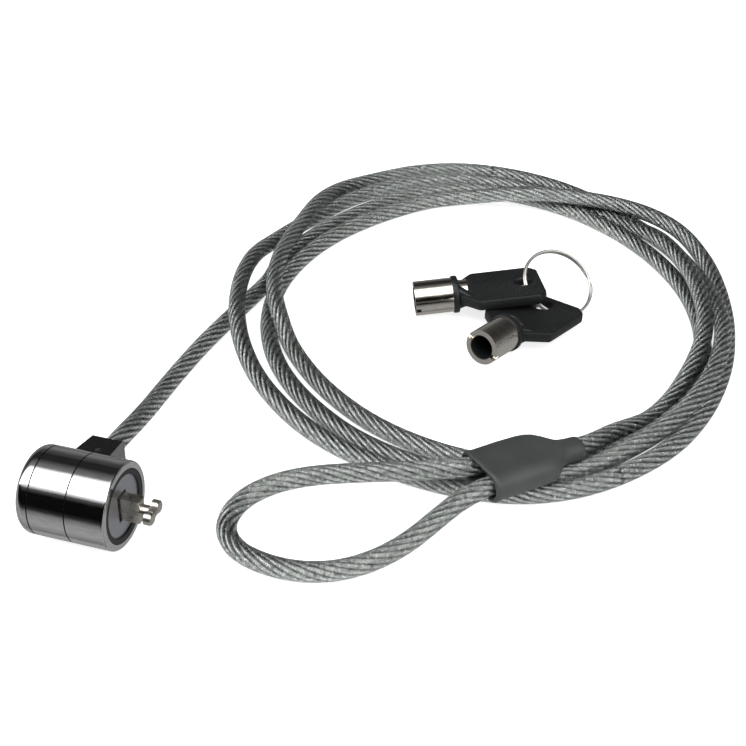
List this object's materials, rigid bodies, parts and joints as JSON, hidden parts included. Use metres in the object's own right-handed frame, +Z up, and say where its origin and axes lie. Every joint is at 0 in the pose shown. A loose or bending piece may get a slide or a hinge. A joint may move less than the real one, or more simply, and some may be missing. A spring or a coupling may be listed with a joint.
{
  "type": "laptop cable lock",
  "caption": "Laptop security lock: chrome swivel head with T-bar and tubular key cylinder, coiled steel cable with an eye loop, keys on a ring.",
  "frame": {"origin": "on the resting plane, at the bottom centre of the box of the pieces that are not cable", "axes": "+X out of the lock's nose along the lock's axis, +Z up from the resting plane"},
  "size_m": [0.1345, 0.2138, 0.0192],
  "materials": {
    "polished_chrome": "mirror-polished plating",
    "lug_chrome": "polished, facets reflect dark",
    "cast_zinc": "as cast",
    "black_plastic": "satin",
    "satin_steel": "fine satin",
    "nickel_drive": "worn satin nickel",
    "bare_steel": "turned",
    "spring_steel": "drawn",
    "brass": "turned",
    "cable_jacket": "clear jacket over the rope",
    "cable_rope": "galvanised strands",
    "crimp_aluminium": "pressed",
    "boot_rubber": "satin moulded",
    "ring_nickel": "nickel plated",
    "key_nickel": "nickel plated",
    "key_plastic": "moulded, fine ribs"
  },
  "bodies": {
    "cable": {"swivel_collar": "polished_chrome", "cable_lug": "lug_chrome", "lug_rivet": "bare_steel", "cable_crimp": "bare_steel", "cable_lead": "cable_jacket", "cable_coil": "cable_jacket", "cable_tail": "cable_jacket", "cable_splice": "cable_rope", "cable_eye": "cable_jacket", "eye_crimp": "crimp_aluminium", "eye_boot": "boot_rubber"},
    "lock_head": {"rear_cap": "polished_chrome", "front_shell": "polished_chrome", "rear_washer": "black_plastic", "front_washer": "black_plastic", "core_housing": "cast_zinc", "nose_ring": "black_plastic", "nose_plate": "satin_steel", "guide_prongs": "nickel_drive", "cylinder_sleeve": "bare_steel", "retaining_pin": "bare_steel", "pin_stator": "brass", "thrust_washer": "bare_steel"},
    "plug": {"plug_rotor": "brass", "c_clip": "spring_steel", "drive_hub": "bare_steel", "tbar_spindle": "nickel_drive"},
    "key_pins": {"key_pins": "brass"},
    "driver_pins": {"driver_pins": "bare_steel", "pin_springs": "spring_steel"},
    "key_ring": {"key_ring": "ring_nickel"},
    "key_a": {"key_a_barrel": "key_nickel", "key_a_bow": "key_plastic"},
    "key_b": {"key_b_barrel": "key_nickel", "key_b_bow": "key_plastic"}
  },
  "joints": [
    {"name": "head_swivel", "type": "hinge", "parent": "cable", "child": "lock_head", "pos_m": [-0.03531, -0.0644, 0.0096], "axis": [1, 0, 0], "continuous": true},
    {"name": "plug_turn", "type": "hinge", "parent": "lock_head", "child": "plug", "pos_m": [-0.03531, -0.0644, 0.0096], "axis": [1, 0, 0], "range_deg": [-10, 80]},
    {"name": "key_pins_out", "type": "slide", "parent": "plug", "child": "key_pins", "axis": [-1, 0, 0], "range_m": [0, 0.001]},
    {"name": "driver_pins_in", "type": "slide", "parent": "lock_head", "child": "driver_pins", "axis": [1, 0, 0], "range_m": [0, 0.001], "stiffness_N_per_m": 50, "springref_m": -0.0005, "deforming": ["pin_springs"]},
    {"name": "keys_lift", "type": "slide", "parent": "cable", "child": "key_ring", "axis": [0, 0, 1], "range_m": [0, 0.15]},
    {"name": "key_a_swing", "type": "hinge", "parent": "key_ring", "child": "key_a", "pos_m": [0.02869, 0.0594, 0.0071], "axis": [-0.1248, 0.0786, 0.9891], "range_deg": [-2, 20]},
    {"name": "key_b_swing", "type": "hinge", "parent": "key_ring", "child": "key_b", "pos_m": [0.03512, 0.05461, 0.00379], "axis": [0.0233, 0.0658, 0.9976], "range_deg": [0, 12]}
  ]
}
